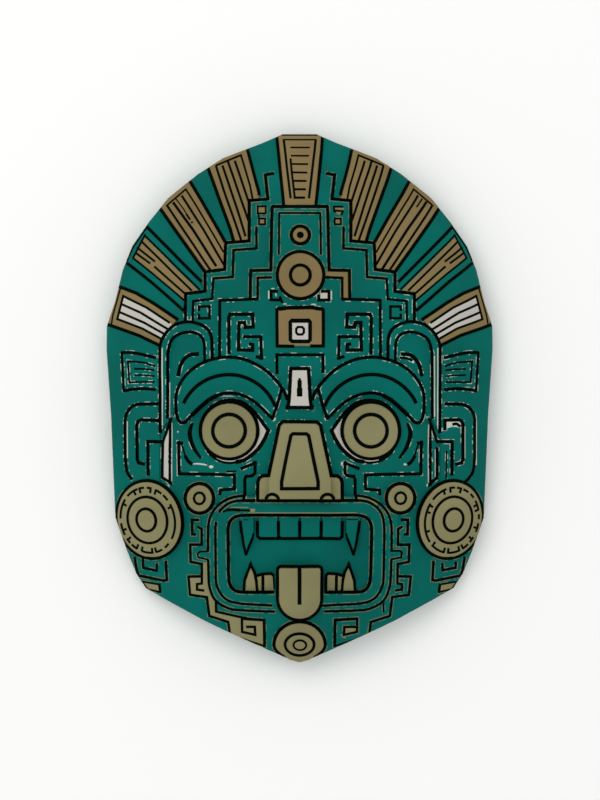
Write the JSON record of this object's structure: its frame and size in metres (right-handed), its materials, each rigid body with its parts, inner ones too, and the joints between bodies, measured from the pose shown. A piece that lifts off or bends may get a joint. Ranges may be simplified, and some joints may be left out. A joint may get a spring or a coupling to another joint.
{
  "type": "aztec mask",
  "caption": "Carved and painted wooden display mask of a fanged deity face under a feathered, stepped crown, with round ear discs and a tongue, hollowed behind.",
  "frame": {"origin": "middle of the mask's box, in the plane of the flat rim that it lies on", "axes": "+X to the viewer's right, +Y from the chin to the crown, +Z out of the face"},
  "size_m": [0.2194, 0.3, 0.0578],
  "materials": {
    "painted_wood": "satin painted softwood"
  },
  "bodies": {
    "root": {"mask": "painted_wood"}
  },
  "joints": []
}
